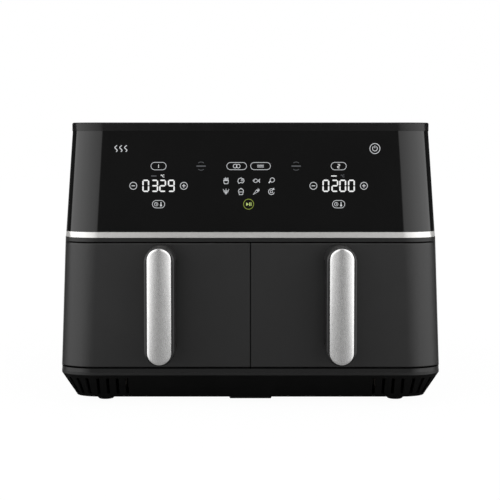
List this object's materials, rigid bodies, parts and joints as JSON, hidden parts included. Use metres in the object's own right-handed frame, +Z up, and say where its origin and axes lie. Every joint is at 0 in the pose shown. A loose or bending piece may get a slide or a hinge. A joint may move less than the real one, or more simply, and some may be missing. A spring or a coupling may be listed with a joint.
{
  "type": "dual-drawer air fryer",
  "caption": "Countertop air fryer with side-by-side heated drawers under a slanted touch panel; each drawer slides out with its basket and lift-out crisper plate.",
  "frame": {"origin": "on the worktop under the middle of the appliance's overall box", "axes": "+X to the viewer's right, +Y towards the back, +Z up; the drawers open towards -Y"},
  "size_m": [0.4144, 0.386, 0.3076],
  "materials": {
    "body_plastic": "fine matte grain",
    "gloss_black": "high gloss",
    "steel": "plain steel",
    "rubber": "matte",
    "silver_trim": "fine satin silver",
    "gloss_panel": "gloss black with backlit graphics",
    "cover_plastic": "satin",
    "gland_plastic": "matte",
    "sheet_steel": "galvanised sheet",
    "circuit_board": "solder mask",
    "ribbon": "flat cable",
    "heater_steel": "dark oxidised tube",
    "insulation": "glass-fibre board",
    "motor_can": "zinc plated can",
    "ceramic_body": "ceramic and tin",
    "switch_plastic": "matte",
    "fan_aluminium": "stamped sheet",
    "drawer_plastic": "dark grey satin",
    "coated_metal": "dark grey non-stick coating",
    "inlay_aluminium": "vertically brushed",
    "rubber_grey": "silicone"
  },
  "bodies": {
    "housing": {"base": "body_plastic", "base_trim": "gloss_black", "base_screws": "steel", "feet": "rubber", "housing_shell": "body_plastic", "trim_band": "silver_trim", "control_panel": "gloss_panel", "top_cover": "cover_plastic", "rear_cover": "body_plastic", "rear_screws": "steel", "cord_gland": "gland_plastic", "motor_deck": "sheet_steel", "power_board": "circuit_board", "display_board": "circuit_board", "ribbon_cable": "ribbon", "left_cavity_liner": "sheet_steel", "left_rails": "sheet_steel", "left_outlet_duct": "sheet_steel", "left_heater": "heater_steel", "left_heater_guard": "steel", "left_heat_shield": "insulation", "left_motor": "motor_can", "left_motor_bracket": "sheet_steel", "left_cavity_sensor": "steel", "left_thermal_cutout": "ceramic_body", "left_drawer_switch": "switch_plastic", "right_cavity_liner": "sheet_steel", "right_rails": "sheet_steel", "right_outlet_duct": "sheet_steel", "right_heater": "heater_steel", "right_heater_guard": "steel", "right_heat_shield": "insulation", "right_motor": "motor_can", "right_motor_bracket": "sheet_steel", "right_cavity_sensor": "steel", "right_thermal_cutout": "ceramic_body", "right_drawer_switch": "switch_plastic"},
    "left_fan_rotor": {"left_shaft": "steel", "left_hot_fan": "fan_aluminium", "left_cooling_fan": "gland_plastic"},
    "left_drawer": {"left_drawer_front": "drawer_plastic", "left_drawer_inner_panel": "coated_metal", "left_basket": "coated_metal", "left_handle": "drawer_plastic", "left_handle_inlay": "inlay_aluminium", "left_drawer_screws": "steel"},
    "left_plate": {"left_crisper_plate": "coated_metal", "left_plate_bumpers": "rubber_grey"},
    "right_fan_rotor": {"right_shaft": "steel", "right_hot_fan": "fan_aluminium", "right_cooling_fan": "gland_plastic"},
    "right_drawer": {"right_drawer_front": "drawer_plastic", "right_drawer_inner_panel": "coated_metal", "right_basket": "coated_metal", "right_handle": "drawer_plastic", "right_handle_inlay": "inlay_aluminium", "right_drawer_screws": "steel"},
    "right_plate": {"right_crisper_plate": "coated_metal", "right_plate_bumpers": "rubber_grey"}
  },
  "joints": [
    {"name": "left_drawer_slide", "type": "slide", "parent": "housing", "child": "left_drawer", "axis": [0, -1, 0], "range_m": [0, 0.3]},
    {"name": "left_plate_lift", "type": "slide", "parent": "left_drawer", "child": "left_plate", "axis": [0, 0, 1], "range_m": [0, 0.1]},
    {"name": "left_fan_spin", "type": "hinge", "parent": "housing", "child": "left_fan_rotor", "pos_m": [-0.097, 0, 0.25], "axis": [0, 0, 1], "continuous": true},
    {"name": "right_drawer_slide", "type": "slide", "parent": "housing", "child": "right_drawer", "axis": [0, -1, 0], "range_m": [0, 0.3]},
    {"name": "right_plate_lift", "type": "slide", "parent": "right_drawer", "child": "right_plate", "axis": [0, 0, 1], "range_m": [0, 0.1]},
    {"name": "right_fan_spin", "type": "hinge", "parent": "housing", "child": "right_fan_rotor", "pos_m": [0.097, 0, 0.25], "axis": [0, 0, 1], "continuous": true}
  ]
}
